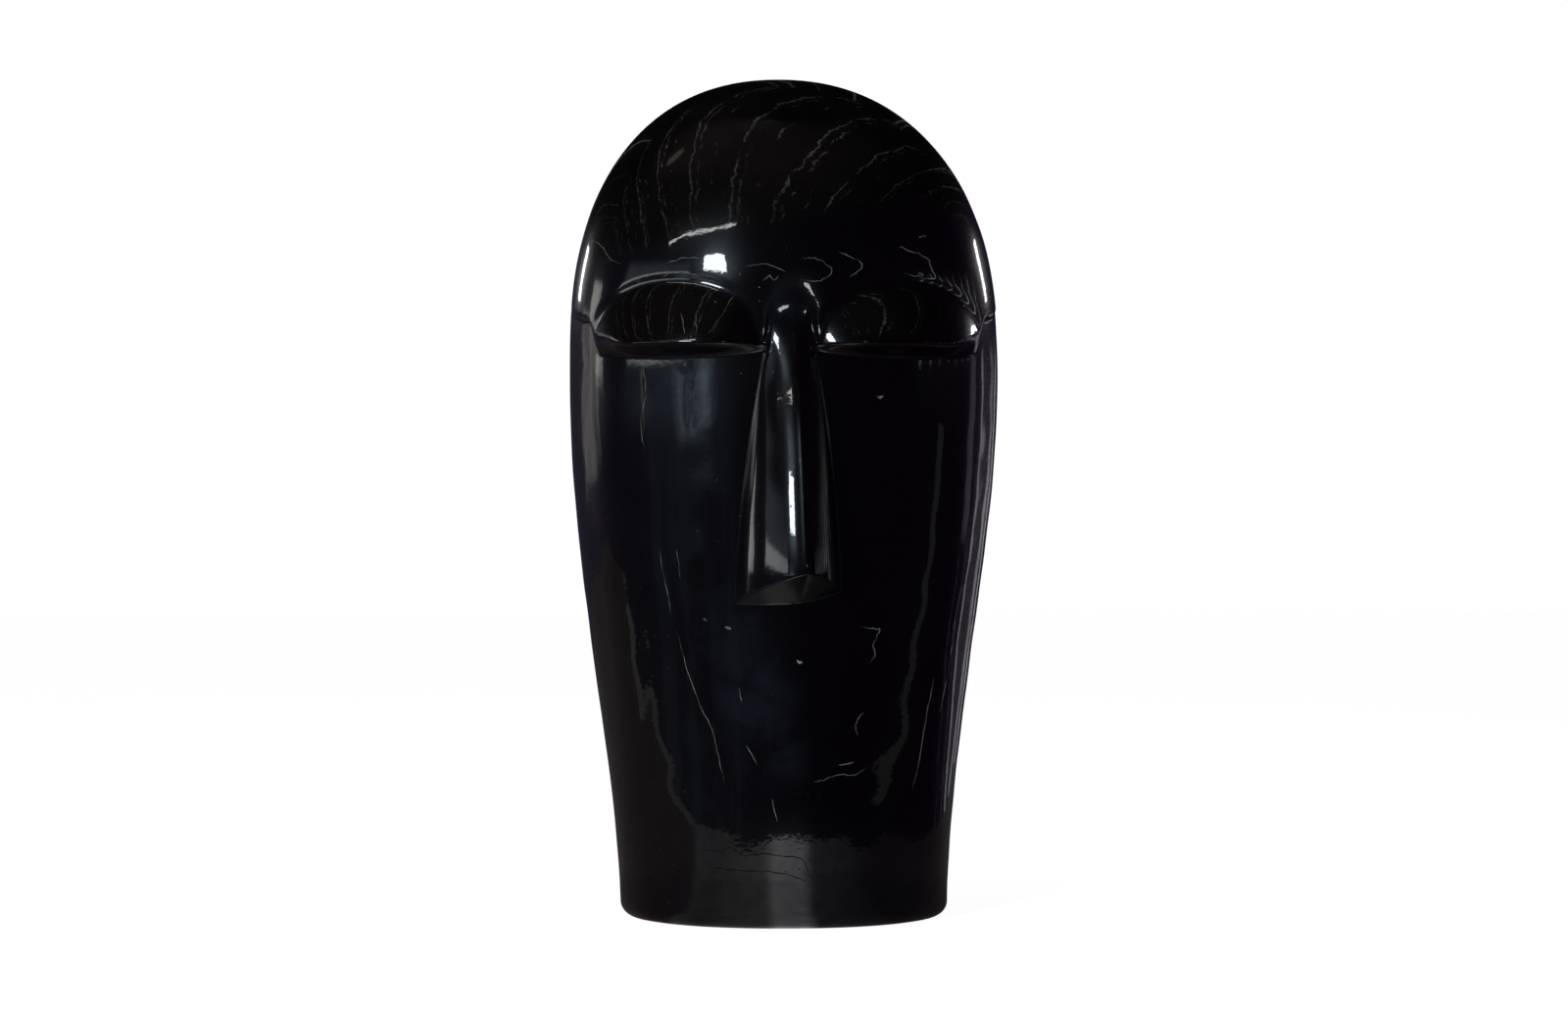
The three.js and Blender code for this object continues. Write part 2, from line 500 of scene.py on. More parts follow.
def skin_points(form, sway, angle, z):
    """Points of the finished surface, with the bead and the waves, a hair inside the solid's box."""
    points = form.points(angle, z)
    fade = ease(WAVES_START, WAVES_FULL, z) * ease(0, WAVES_FULL, form.height - z)
    push = form.bead_at(angle, z) + hand_waves(points, sway) * fade - SKIN_INSET
    outward = np.stack([np.sin(np.radians(angle)), -np.cos(np.radians(angle)), 0 * angle], -1)
    return points + outward * push[..., None]


def casting(settings):
    sizes = settings.sizes
    form = HeadForm(sizes)
    rows = row_heights(form, sizes.rows)
    angles = column_angles(form, rows, sizes.columns)
    grid = skin_points(form, sizes.sway, angles, rows[:, None])
    crown = (-float(form.lean_at(np.float64(form.height))), 0, form.height)
    mesh = ring_mesh("head_casting", grid, (0, 0, 0), crown)
    mesh.polygons.foreach_set("use_smooth", [True] * len(mesh.polygons))
    return mesh


# Marks on the surface: where each bends, as degrees from straight ahead and height in mm

PALE_HAIRLINES = (
    ((-13, 464), (-9, 466), (-5, 465), (-1, 460)),
    ((-8, 454), (-6, 458), (-5, 455), (-3, 458)),
    ((3, 470), (7, 470), (10, 467), (12, 461), (10, 456), (7, 454), (3, 455)),
    ((14, 475), (17, 472), (20, 469), (21, 465), (19, 460), (17, 457)),
    ((32, 480), (36, 477), (42, 472), (43, 465), (44, 458), (38, 459), (33, 461)),
    ((40, 487), (43, 488)),
    ((-37, 468), (-30, 471), (-26, 471)),
    ((-38, 459), (-33, 461), (-29, 460), (-26, 458)),
    ((-68, 488), (-62, 482), (-57, 473), (-52, 469)),
    ((-22, 417), (-19, 431), (-16, 446)),
    ((-28, 417), (-30, 433)),
    ((-25, 417), (-26, 433)),
    ((24, 214), (28, 212), (31, 211), (29, 201), (30, 194), (28, 187)),
    ((27, 154), (24, 145), (25, 137)),
    ((9, 105), (13, 106), (19, 110), (24, 109), (29, 115)),
    ((18, 116), (24, 118)),
    ((-38, 213), (-35, 187), (-31, 159), (-27, 142), (-25, 123), (-23, 103)),
    ((-17, 171), (-16, 161)),
    ((-15, 131), (-11, 116)),
    ((-6, 93), (-4, 76)),
    ((-45, 398), (-44, 378), (-46, 357), (-45, 337)),
    ((-42, 268), (-40, 240), (-39, 223)),
    ((-36, 268), (-35, 247)),
    ((67, 247), (64, 222), (64, 189), (61, 158), (60, 150)),
    ((55, 177), (53, 151), (51, 123), (48, 96)),
)
PALE_BLISTERS = (
    ((3, 190), (4, 189), (5, 189)),
    ((26, 375), (27, 374), (28, 375)),
    ((-28, 219), (-27, 218)),
    ((-21, 214), (-19, 212)),
)
DARK_CRACKS = (
    ((-41, 55), (-31, 56), (-25, 55), (-22, 58), (-17, 53), (-9, 54), (-1, 52), (5, 50), (7, 42), (9, 35)),
    ((-31, 46), (-25, 43), (-16, 42), (-4, 41), (3, 37), (8, 34)),
)
HAIRLINE_RADIUS = 0.28 * MM
BLISTER_RADIUS = 1.1 * MM
CRACK_RADIUS = 0.45 * MM


def bend_through(corners, steps):
    """Points of a smooth curve through the corners."""
    ends = [2 * corners[0] - corners[1], *corners, 2 * corners[-1] - corners[-2]]
    curve = []
    for before, start, finish, after in zip(ends, ends[1:], ends[2:], ends[3:]):
        for t in np.arange(steps) / steps:
            slope = (finish - before) * t
            pull = (2 * before - 5 * start + 4 * finish - after) * t**2
            turn_in = (3 * start - before - 3 * finish + after) * t**3
            curve.append(start + 0.5 * (slope + pull + turn_in))
    curve.append(corners[-1])
    return np.array(curve)


def thread_mesh(name, form, sway, paths, radius):
    """Thin closed threads half sunk in the surface, each drawn to a point at both ends."""
    sides = 6
    steps_per_bend = 6
    wobble_turn, wobble_height = 0.12, 0.35
    taper = 6
    thinnest = 0.6
    flatness = 0.7
    dice = np.random.default_rng(11)
    points, faces = [], []
    around = np.radians(360 * np.arange(sides) / sides)
    for path in paths:
        line = bend_through(np.array(path, float), steps_per_bend)
        line[1:-1] += dice.normal(scale=(wobble_turn, wobble_height), size=(len(line) - 2, 2))
        middle = skin_points(form, sway, line[:, 0], line[:, 1] * MM)
        angle = np.radians(line[:, 0])
        outward = np.stack([np.sin(angle), -np.cos(angle), 0 * angle], -1)
        along = np.gradient(middle, axis=0)
        sideways = np.cross(along, outward)
        sideways /= np.linalg.norm(sideways, axis=1)[:, None]
        share = np.linspace(0, 1, len(line))
        pointed = np.minimum(1, taper * np.minimum(share, 1 - share))
        thick = radius * pointed * dice.uniform(thinnest, 1.0, len(line))
        first = len(points)
        points.append(middle[0])
        for here, out, side, reach in list(zip(middle, outward, sideways, thick))[1:-1]:
            points.extend(here + reach * (np.cos(a) * side + flatness * np.sin(a) * out) for a in around)
        points.append(middle[-1])
        last = len(points) - 1
        for k in range(sides):
            after = (k + 1) % sides
            faces.append((first, first + 1 + after, first + 1 + k))
            faces.append((last, last - sides + k, last - sides + after))
            for ring in range(first + 1, last - sides, sides):
                faces.append((ring + k, ring + after, ring + sides + after, ring + sides + k))
    mesh = bpy.data.meshes.new(name)
    mesh.from_pydata([tuple(point) for point in points], [], faces)
    mesh.validate()
    return mesh


# The lacquer


class Wiring:
    """Adds shader nodes and joins them, so that a material reads from top to bottom."""

    def __init__(self, tree):
        self.nodes = tree.nodes
        self.links = tree.links

    def join(self, value, socket):
        if isinstance(value, bpy.types.NodeSocket):
            self.links.new(value, socket)
        else:
            socket.default_value = value

    def noise(self, where, scale, detail=2.0, roughness=0.5, distortion=0.0):
        node = self.nodes.new("ShaderNodeTexNoise")
        self.links.new(where, node.inputs["Vector"])
        node.inputs["Scale"].default_value = scale
        node.inputs["Detail"].default_value = detail
        node.inputs["Roughness"].default_value = roughness
        node.inputs["Distortion"].default_value = distortion
        return node.outputs["Fac"]

    def cells(self, where, scale):
        """Distance to the nearest of many scattered points."""
        node = self.nodes.new("ShaderNodeTexVoronoi")
        self.links.new(where, node.inputs["Vector"])
        node.inputs["Scale"].default_value = scale
        return node.outputs["Distance"]

    def parts(self, vector):
        """A vector's three coordinates."""
        node = self.nodes.new("ShaderNodeSeparateXYZ")
        self.links.new(vector, node.inputs["Vector"])
        return tuple(node.outputs[axis] for axis in "XYZ")

    def degrees_round(self, x, y):
        """Turn from straight ahead, towards the head's own left."""
        return self.maths("DEGREES", self.maths("ARCTAN2", x, self.maths("MULTIPLY", y, -1)))

    def stretch(self, where, scale):
        node = self.nodes.new("ShaderNodeMapping")
        self.links.new(where, node.inputs["Vector"])
        node.inputs["Scale"].default_value = scale
        return node.outputs["Vector"]

    def remap(self, value, low, high, start=0.0, end=1.0):
        node = self.nodes.new("ShaderNodeMapRange")
        node.interpolation_type = "SMOOTHSTEP"
        self.links.new(value, node.inputs["Value"])
        node.inputs["From Min"].default_value = low
        node.inputs["From Max"].default_value = high
        node.inputs["To Min"].default_value = start
        node.inputs["To Max"].default_value = end
        return node.outputs["Result"]

    def maths(self, operation, first, second=0.0):
        node = self.nodes.new("ShaderNodeMath")
        node.operation = operation
        self.join(first, node.inputs[0])
        self.join(second, node.inputs[1])
        return node.outputs["Value"]

    def ramp(self, value, low, high, stops):
        """A colour from stops of (value, colour); a colour can be one number."""
        node = self.nodes.new("ShaderNodeValToRGB")
        scaled = self.maths("DIVIDE", self.maths("SUBTRACT", value, low), high - low)
        self.links.new(scaled, node.inputs["Fac"])
        elements = node.color_ramp.elements
        while len(elements) < len(stops):
            elements.new(1.0)
        for element, (at, colour) in zip(elements, stops):
            element.position = (at - low) / (high - low)
            element.color = (*colour, 1) if isinstance(colour, tuple) else (colour, colour, colour, 1)
        return node.outputs["Color"]

    def near(self, where, centre, radius):
        """1 at the centre, easing to 0 at the radius."""
        node = self.nodes.new("ShaderNodeVectorMath")
        node.operation = "DISTANCE"
        self.links.new(where, node.inputs[0])
        node.inputs[1].default_value = centre
        return self.remap(node.outputs["Value"], radius, 0.0)

    def mix(self, share, first, second):
        node = self.nodes.new("ShaderNodeMix")
        node.data_type = "RGBA"
        self.join(share, node.inputs["Factor"])
        self.join(first, node.inputs["A"])
        self.join(second, node.inputs["B"])
        return node.outputs["Result"]

    def bump(self, height, distance, strength, under=None):
        node = self.nodes.new("ShaderNodeBump")
        node.inputs["Strength"].default_value = strength
        node.inputs["Distance"].default_value = distance
        self.links.new(height, node.inputs["Height"])
        if under is not None:
            self.links.new(under, node.inputs["Normal"])
        return node.outputs["Normal"]


# Patches of painted bluish sheen on the lacquer, where glows of the key light lie, and where the body is a
# little rougher: degrees from straight ahead, height in mm, radius in mm, strength
PAINTED_SHEEN_PATCHES = (
    (-31, 392, 34, 1.0),
    (-45, 372, 42, 0.55),
    (-17, 210, 46, 0.35),
    (-12, 165, 50, 0.5),
    (-6, 122, 40, 0.7),
    (-20, 478, 34, 0.45),
    (-57, 463, 22, 0.35),
    (-2, 432, 26, 0.4),
)
SHEEN_PATCH_DISTANCE = 0.128
STRAY_DUST = 0.05
WARM_BLACK = (0.0011, 0.0008, 0.0008, 1)
SPECK_TONE = (0.30, 0.31, 0.32, 1)


def dust_and_sheen_amount(wire, place):
    """How thickly dust and painted sheen lie: a trace of dust all over and the patches of painted bluish
    sheen, both broken up by fine clouds.
    """
    everywhere = wire.remap(wire.noise(place, 7.0, detail=4.0, roughness=0.6), 0.5, 0.8)
    patches = wire.maths("MULTIPLY", everywhere, STRAY_DUST)
    for angle, height, radius, strength in PAINTED_SHEEN_PATCHES:
        turned = math.radians(angle)
        centre = (SHEEN_PATCH_DISTANCE * math.sin(turned), -SHEEN_PATCH_DISTANCE * math.cos(turned), height * MM)
        patch = wire.maths("MULTIPLY", wire.near(place, centre, radius * MM), strength)
        patches = wire.maths("ADD", patches, patch)
    clouds = wire.noise(place, 26.0, detail=5.0, roughness=0.65, distortion=0.6)
    return wire.maths("MULTIPLY", patches, wire.remap(clouds, 0.32, 0.68))


def dust_specks(wire, place, dust_and_sheen):
    """1 at grains of dust, which lie only where the dust and painted sheen are thick."""
    grains = wire.cells(place, 300.0)
    speck = wire.maths("MULTIPLY", wire.remap(grains, 0.14, 0.08), wire.remap(dust_and_sheen, 0.3, 0.7))
    return wire.maths("MULTIPLY", speck, wire.remap(wire.noise(place, 55.0), 0.56, 0.64))


def lacquer(look):
    """High gloss black lacquer: a hazy body under a clear coat with ripples and pinholes, and dust and
    patches of painted bluish sheen on it.
    """
    material = bpy.data.materials.new("black_lacquer")
    material.use_nodes = True
    shader = material.node_tree.nodes["Principled BSDF"]
    wire = Wiring(material.node_tree)
    place = wire.nodes.new("ShaderNodeTexCoord").outputs["Object"]

    # A black that drifts between warm and cold, with the dust and the painted bluish sheen over it
    dust_and_sheen = dust_and_sheen_amount(wire, place)
    drift = wire.remap(wire.noise(place, 3.0), 0.35, 0.65)
    black = wire.mix(drift, WARM_BLACK, (*look.colour, 1))
    tone = wire.mix(dust_and_sheen, black, (*look.dust_and_sheen_colour, 1))
    wire.join(wire.mix(dust_specks(wire, place, dust_and_sheen), tone, SPECK_TONE), shader.inputs["Base Color"])

    # Body haze, rougher where the dust and the sheen patches lie, under the clear coat
    wire.join(wire.remap(dust_and_sheen, 0.0, 1.0, look.haze - 0.06, look.haze + 0.08), shader.inputs["Roughness"])
    shader.inputs["IOR"].default_value = 1.5
    shader.inputs["Specular IOR Level"].default_value = 0.14
    shader.inputs["Specular Tint"].default_value = (0.80, 0.92, 1.0, 1)
    shader.inputs["Coat Weight"].default_value = 1.0
    shader.inputs["Coat Roughness"].default_value = 0.025
    shader.inputs["Coat IOR"].default_value = 1.5

    # Long ripples, fine orange peel and scattered pinholes in the coat
    upright = wire.stretch(place, (1.0, 1.0, 0.35))
    ripple = wire.bump(wire.noise(upright, 55.0, distortion=0.4), 0.002, look.ripple)
    peel = wire.bump(wire.noise(place, 260.0), 0.0004, look.ripple * 2, ripple)
    pinholes = wire.remap(wire.cells(place, 110.0), 0.03, 0.09)
    pitted = wire.bump(pinholes, 0.0004, 0.35, peel)
    wire.join(pitted, shader.inputs["Coat Normal"])
    wire.join(ripple, shader.inputs["Normal"])
    return material


def mark_material(name, low, high, roughness):
    """A dull uneven tone between low and high, for scratches and cracks that have lost the gloss."""
    material = bpy.data.materials.new(name)
    material.use_nodes = True
    shader = material.node_tree.nodes["Principled BSDF"]
    wire = Wiring(material.node_tree)
    place = wire.nodes.new("ShaderNodeTexCoord").outputs["Object"]
    patchy = wire.remap(wire.noise(place, 90.0, detail=3.0, roughness=0.6), 0.35, 0.65)
    tone = wire.mix(patchy, (low, low, low, 1), (high, high, 0.96 * high, 1))
    wire.join(tone, shader.inputs["Base Color"])
    shader.inputs["Roughness"].default_value = roughness
    shader.inputs["Specular IOR Level"].default_value = 0.2
    return material


# The studio


# Soft panels seen in the gloss: turn from and to, lift from and to, softness (degrees), colour, unevenness
ROOM_PANELS = (
    (-76, -22, -16, 2, 6, (0.070, 0.085, 0.120), 1.0),
    (-52, -33, -3, 4, 4.5, (1.20, 1.48, 1.75), 1.0),
    (-89, -46, 6, 14, 2.5, (0.28, 0.31, 0.38), 0.4),
    (-89, -46, 3.0, 8, 1.0, (2.40, 2.42, 2.50), 0.2),
    (-138, -121, -3, 6, 0.6, (0.50, 0.48, 0.46), 0.8),
    (-124, -113, 1, 10, 0.8, (1.70, 1.68, 1.66), 0.5),
    (-76.5, -75, -4, 2, 0.6, (0.50, 0.47, 0.44), 0.9),
    (-101, -94, 45, 52, 1.0, (0.50, 0.42, 0.30), 0.2),
    (117, 125, -6, 3, 1.0, (0.22, 0.21, 0.24), 0.3),
    (136, 139, -8, 3, 0.8, (0.80, 0.78, 0.84), 0.8),
    (144, 148, -8, 3, 0.8, (0.70, 0.68, 0.74), 0.8),
    (152, 155, -9, 3, 0.8, (0.60, 0.58, 0.64), 0.8),
    (128, 129.5, -13, -5, 0.5, (0.12, 0.11, 0.13), 0.9),
    (118, 119, -14, -8, 0.5, (0.18, 0.17, 0.18), 0.9),
)


# The ceiling in the gloss: boards in a fan about a point overhead, with joints of three kinds between them.
# Each joint has its shift in degrees, its thickness and the least wear that shows it.
FAN_CENTRE = (1.4, 3.5)
BOARD_ANGLE = math.radians(7.05)
JOINTS = ((15.0, 0.075, 0.40), (13.8, 0.05, 0.47), (11.6, 0.04, 0.52))
JOINT_TONE = (0.68, 0.65, 0.63, 1)
BOARD_TONES = ((0.100, 0.082, 0.086, 1), (0.040, 0.027, 0.033, 1))
LEAST_RISE = 0.05
BACK_LIMIT = 1.2
# By turn: how brightly the ceiling is lit, and where it meets the wall as a share of FOOT_LIFT degrees
CEILING_LIGHT = ((-170, 0.12), (-130, 0.22), (-95, 0.9), (0, 1.0), (60, 0.4), (110, 0.14), (170, 0.10))
CEILING_FOOT = (
    (-150, 0.20),
    (-90, 0.38),
    (-60, 0.46),
    (-20, 0.55),
    (0, 0.60),
    (60, 0.72),
    (100, 0.64),
    (130, 0.36),
    (160, 0.28),
)
FOOT_LIFT = 50
WALL_TONES = ((0.030, 0.026, 0.045, 1), (0.012, 0.005, 0.018, 1))
SLAT_TONES = ((0.10, 0.09, 0.10, 1), (1.5, 1.48, 1.52, 1))


def ceiling_colour(wire, x, y, z, turn, lift):
    """Boards that fan out from a far corner, with pale worn joints, darker to the sides and the back."""
    flat = wire.maths("MAXIMUM", z, LEAST_RISE)
    over_x = wire.maths("DIVIDE", x, flat)
    over_y = wire.maths("MINIMUM", wire.maths("DIVIDE", y, flat), BACK_LIMIT)
    overhead = wire.nodes.new("ShaderNodeCombineXYZ")
    wire.join(over_x, overhead.inputs["X"])
    wire.join(over_y, overhead.inputs["Y"])
    overhead = overhead.outputs["Vector"]
    from_x = wire.maths("SUBTRACT", over_x, FAN_CENTRE[0])
    from_y = wire.maths("SUBTRACT", FAN_CENTRE[1], over_y)
    wobble = wire.maths("MULTIPLY", wire.noise(overhead, 2.2, detail=4.0, roughness=0.65), 0.055)
    fan = wire.maths("ADD", wire.maths("ARCTAN2", from_x, from_y), wobble)
    worn = wire.noise(wire.stretch(overhead, (3.0, 1.2, 1.0)), 1.5, detail=5.0, roughness=0.7)
    joint = 0.0
    for shift, thin, least_wear in JOINTS:
        along = wire.maths("MULTIPLY", wire.maths("ADD", fan, math.radians(shift)), math.pi / BOARD_ANGLE)
        line = wire.remap(wire.maths("ABSOLUTE", wire.maths("SINE", along)), thin, 0.3 * thin)
        line = wire.maths("MULTIPLY", line, wire.remap(worn, least_wear, least_wear + 0.1))
        joint = wire.maths("MAXIMUM", joint, line)
    blotches = wire.remap(wire.noise(overhead, 0.9, detail=4.0, roughness=0.6), 0.35, 0.65)
    boards = wire.mix(wire.maths("MULTIPLY", blotches, 0.6), *BOARD_TONES)
    lit = wire.ramp(turn, -180, 180, CEILING_LIGHT)
    lit = wire.maths("MULTIPLY", lit, wire.remap(lift, 30, 65, 0.34, 1.0))
    boards = wire.mix(lit, (0, 0, 0, 1), boards)
    joint = wire.maths("MULTIPLY", joint, wire.remap(lit, 0.05, 0.4, 0.2, 1.0))
    return wire.mix(joint, boards, JOINT_TONE)


def inside_panel(wire, turn, lift, edges, soft):
    """1 between the panel's edges in turn and lift, easing to 0 outside."""
    turn_from, turn_to, lift_from, lift_to = edges
    inside = wire.remap(turn, turn_from - soft, turn_from + soft)
    inside = wire.maths("MULTIPLY", inside, wire.remap(turn, turn_to + soft, turn_to - soft))
    inside = wire.maths("MULTIPLY", inside, wire.remap(lift, lift_from - soft, lift_from + soft))
    return wire.maths("MULTIPLY", inside, wire.remap(lift, lift_to + soft, lift_to - soft))


def with_blind(wire, turn, lift, room):
    """The room with a slatted blind at one side, brightest near its foot."""
    across = wire.maths("MULTIPLY", wire.remap(turn, 62, 66), wire.remap(turn, 122, 118))
    upright = wire.maths("MULTIPLY", wire.remap(lift, 2, 4), wire.remap(lift, 13, 4))
    blind = wire.maths("MULTIPLY", across, upright)
    slats = wire.remap(wire.maths("SINE", wire.maths("MULTIPLY", turn, 0.85)), 0.75, 0.97)
    room = wire.mix(wire.maths("MULTIPLY", blind, 0.4), room, SLAT_TONES[0])
    return wire.mix(wire.maths("MULTIPLY", blind, slats), room, SLAT_TONES[1])


def studio_world():
    """White to the camera; in the gloss, a dim room with a boarded ceiling, soft panels and a blind."""
    world = bpy.data.worlds.new("studio")
    bpy.context.scene.world = world
    world.use_nodes = True
    wire = Wiring(world.node_tree)
    out = world.node_tree.nodes["World Output"]
    white = world.node_tree.nodes["Background"]
    white.inputs["Color"].default_value = (1, 1, 1, 1)
    white.inputs["Strength"].default_value = 1.05

    way = wire.nodes.new("ShaderNodeTexCoord").outputs["Generated"]
    x, y, z = wire.parts(way)
    turn = wire.degrees_round(x, y)
    lift = wire.maths("DEGREES", wire.maths("ARCSINE", z))

    ceiling = ceiling_colour(wire, x, y, z, turn, lift)
    foot = wire.ramp(turn, -180, 180, CEILING_FOOT)
    overhang = wire.maths("SUBTRACT", wire.maths("DIVIDE", lift, FOOT_LIFT), foot)
    wall = wire.mix(wire.remap(turn, -25, 20), *WALL_TONES)
    room = wire.mix(wire.remap(overhang, -0.05, 0.03), wall, ceiling)
    clouds = wire.noise(way, 5.0, detail=4.0, roughness=0.6, distortion=0.4)
    for *edges, soft, colour, uneven in ROOM_PANELS:
        inside = inside_panel(wire, turn, lift, edges, soft)
        inside = wire.maths("MULTIPLY", inside, wire.remap(clouds, 0.35, 0.6, 1 - uneven, 1.0))
        room = wire.mix(inside, room, (*colour, 1))
    room = with_blind(wire, turn, lift, room)

    dim = wire.nodes.new("ShaderNodeBackground")
    wire.join(room, dim.inputs["Color"])
    path = wire.nodes.new("ShaderNodeLightPath")
    blend = wire.nodes.new("ShaderNodeMixShader")
    wire.join(path.outputs["Is Camera Ray"], blend.inputs["Fac"])
    wire.links.new(dim.outputs["Background"], blend.inputs[1])
    wire.links.new(white.outputs["Background"], blend.inputs[2])
    wire.links.new(blend.outputs["Shader"], out.inputs["Surface"])


def pale_paper():
    material = bpy.data.materials.new("pale_paper")
    material.use_nodes = True
    shader = material.node_tree.nodes["Principled BSDF"]
    wire = Wiring(material.node_tree)
    place = wire.nodes.new("ShaderNodeTexCoord").outputs["Object"]
    tone = wire.mix(wire.noise(place, 40.0, detail=4.0), (0.90, 0.90, 0.90, 1), (0.94, 0.94, 0.935, 1))
    wire.join(tone, shader.inputs["Base Color"])
    shader.inputs["Roughness"].default_value = 0.9
    shader.inputs["Emission Color"].default_value = (1, 1, 1, 1)
    shader.inputs["Emission Strength"].default_value = 0.95
    return material


def flat_board(name, width, depth, centre, material):
    x, y, z = centre
    corners = [(x + i * width / 2, y + j * depth / 2, z) for i, j in ((-1, -1), (1, -1), (1, 1), (-1, 1))]
    mesh = bpy.data.meshes.new(name)
    mesh.from_pydata(corners, [], [(0, 1, 2, 3)])
    mesh.materials.append(material)
    board = bpy.data.objects.new(name, mesh)
    bpy.context.scene.collection.objects.link(board)
    return board


# The lit table top and the pale gap beside it, as the gloss shows them: corners on the floor in metres
TABLE_TOP = (
    (0.42, 0.0),
    (0.37, -0.25),
    (0.19, -0.34),
    (0.05, -0.36),
    (-0.03, -0.375),
    (-0.20, -0.35),
    (-0.31, -0.29),
    (-0.51, -0.28),
    (-0.98, -0.17),
    (-0.97, 0.0),
    (-1.46, 0.21),
    (-2.60, 1.40),
    (0.0, 2.40),
    (0.60, 0.80),
)
TABLE_GAP = (
    (0.42, -0.41),
    (0.82, -0.33),
    (1.30, -0.26),
    (8.0, -0.9),
    (8.0, -0.2),
    (1.25, -0.17),
    (0.78, -0.27),
    (0.43, -0.34),
)
TABLE_RIM = (
    (-0.31, -0.29),
    (-0.51, -0.28),
    (-0.98, -0.17),
    (-0.97, 0.0),
    (-1.46, 0.21),
    (-1.38, 0.28),
    (-0.89, 0.05),
    (-0.90, -0.13),
    (-0.50, -0.24),
    (-0.31, -0.26),
)
TABLE_HEIGHT = 0.0005
RIM_HEIGHT = 0.0008
RIM_TONES = ((-180, 0.20), (180, 0.20))
GAP_TONES = ((-180, 0.11), (180, 0.11))
# How bright the table top is at each turn round the foot
TABLE_TONES = (
    (-170, 0.03),
    (-120, (0.045, 0.034, 0.037)),
    (-75, (0.075, 0.056, 0.062)),
    (-51, (0.080, 0.062, 0.068)),
    (-47, (0.22, 0.21, 0.22)),
    (-36, (0.17, 0.16, 0.17)),
    (-30, (0.22, 0.22, 0.22)),
    (-9, (0.38, 0.38, 0.38)),
    (-5, (1.00, 0.98, 1.01)),
    (7, (0.95, 0.93, 0.97)),
    (12, (0.16, 0.15, 0.17)),
    (45, (0.05, 0.04, 0.045)),
    (100, (0.03, 0.022, 0.026)),
    (150, 0.03),
)
FLOOR_SIZE = 14
COOL_WHITE = (0.90, 0.96, 1.0)
TUBE_START = (-3.50, -1.98)
TUBE_END = (-1.12, -2.74)


def table_glow(name, tones):
    """A glow toned by the turn round the foot, weaker close to the foot and a little uneven."""
    material = bpy.data.materials.new(name)
    material.use_nodes = True
    shader = material.node_tree.nodes["Principled BSDF"]
    wire = Wiring(material.node_tree)
    place = wire.nodes.new("ShaderNodeTexCoord").outputs["Object"]
    x, y, _ = wire.parts(place)
    waver = wire.maths("MULTIPLY", wire.noise(place, 14.0, detail=3.0), 3.0)
    turn = wire.maths("SUBTRACT", wire.maths("ADD", wire.degrees_round(x, y), waver), 1.5)
    near_foot = wire.remap(wire.near(place, (0, 0, 0), 0.42), 0.12, 0.45, 1.15, 0.75)
    blotches = wire.remap(wire.noise(place, 30.0, detail=4.0), 0.3, 0.7, 0.8, 1.1)
    shader.inputs["Base Color"].default_value = (0.01, 0.01, 0.01, 1)
    shader.inputs["Roughness"].default_value = 0.9
    wire.join(wire.ramp(turn, -180, 180, tones), shader.inputs["Emission Color"])
    wire.join(wire.maths("MULTIPLY", near_foot, blotches), shader.inputs["Emission Strength"])
    return material


def floor_shape(name, corners, tones, height=TABLE_HEIGHT):
    """A flat glowing shape just above the floor that only the gloss shows."""
    mesh = bpy.data.meshes.new(name)
    mesh.from_pydata([(x, y, height) for x, y in corners], [], [tuple(reversed(range(len(corners))))])
    mesh.materials.append(table_glow(name, tones))
    shape = bpy.data.objects.new(name, mesh)
    bpy.context.scene.collection.objects.link(shape)
    shape.visible_camera = False
    shape.visible_diffuse = False
    shape.visible_shadow = False


def tube_light(name, start, end, height, thickness, brightness):
    """A long thin ceiling light from one place to another, facing the head."""
    data = bpy.data.lights.new(name, "AREA")
    data.shape = "RECTANGLE"
    start, end = Vector((*start, height)), Vector((*end, height))
    data.size = (end - start).length
    data.size_y = thickness
    data.energy = brightness * math.pi * data.size * data.size_y
    light = bpy.data.objects.new(name, data)
    bpy.context.scene.collection.objects.link(light)
    along = (end - start).normalized()
    middle = (start + end) / 2
    away = middle - Vector((0, 0, 0.75 * CAD_HEIGHT))
    away = (away - away.dot(along) * along).normalized()
    turned = Matrix((along, away.cross(along), away)).transposed()
    light.matrix_world = Matrix.Translation(middle) @ turned.to_4x4()


def panel_light(name, turn, lift, wide, tall, brightness, colour=(1.0, 0.99, 0.985), distance=2.3):
    """A rectangular light seen from the head at a turn and a lift, so many degrees wide and tall."""
    data = bpy.data.lights.new(name, "AREA")
    data.shape = "RECTANGLE"
    data.size = 2 * distance * math.tan(math.radians(wide / 2))
    data.size_y = 2 * distance * math.tan(math.radians(tall / 2))
    data.energy = brightness * math.pi * data.size * data.size_y
    data.color = colour
    light = bpy.data.objects.new(name, data)
    bpy.context.scene.collection.objects.link(light)
    turn, lift = math.radians(turn), math.radians(lift)
    way = Vector((math.sin(turn) * math.cos(lift), -math.cos(turn) * math.cos(lift), math.sin(lift)))
    light.location = Vector((0, 0, 0.65 * CAD_HEIGHT)) + way * distance
    light.rotation_euler = (-way).to_track_quat("-Z", "Y").to_euler()


def studio_camera(studio):
    data = bpy.data.cameras.new("photo_camera")
    camera = bpy.data.objects.new("photo_camera", data)
    bpy.context.scene.collection.objects.link(camera)
    turn = studio.camera_turn
    back = Vector((-math.sin(turn), -math.cos(turn), 0)) * studio.camera_distance
    camera.location = back + Vector((0, 0, studio.camera_height))
    camera.rotation_euler = (math.pi / 2, 0, -turn)
    data.sensor_width = 36
    data.lens = 36 * studio.camera_distance / studio.frame_width
    bpy.context.scene.camera = camera


# Operators


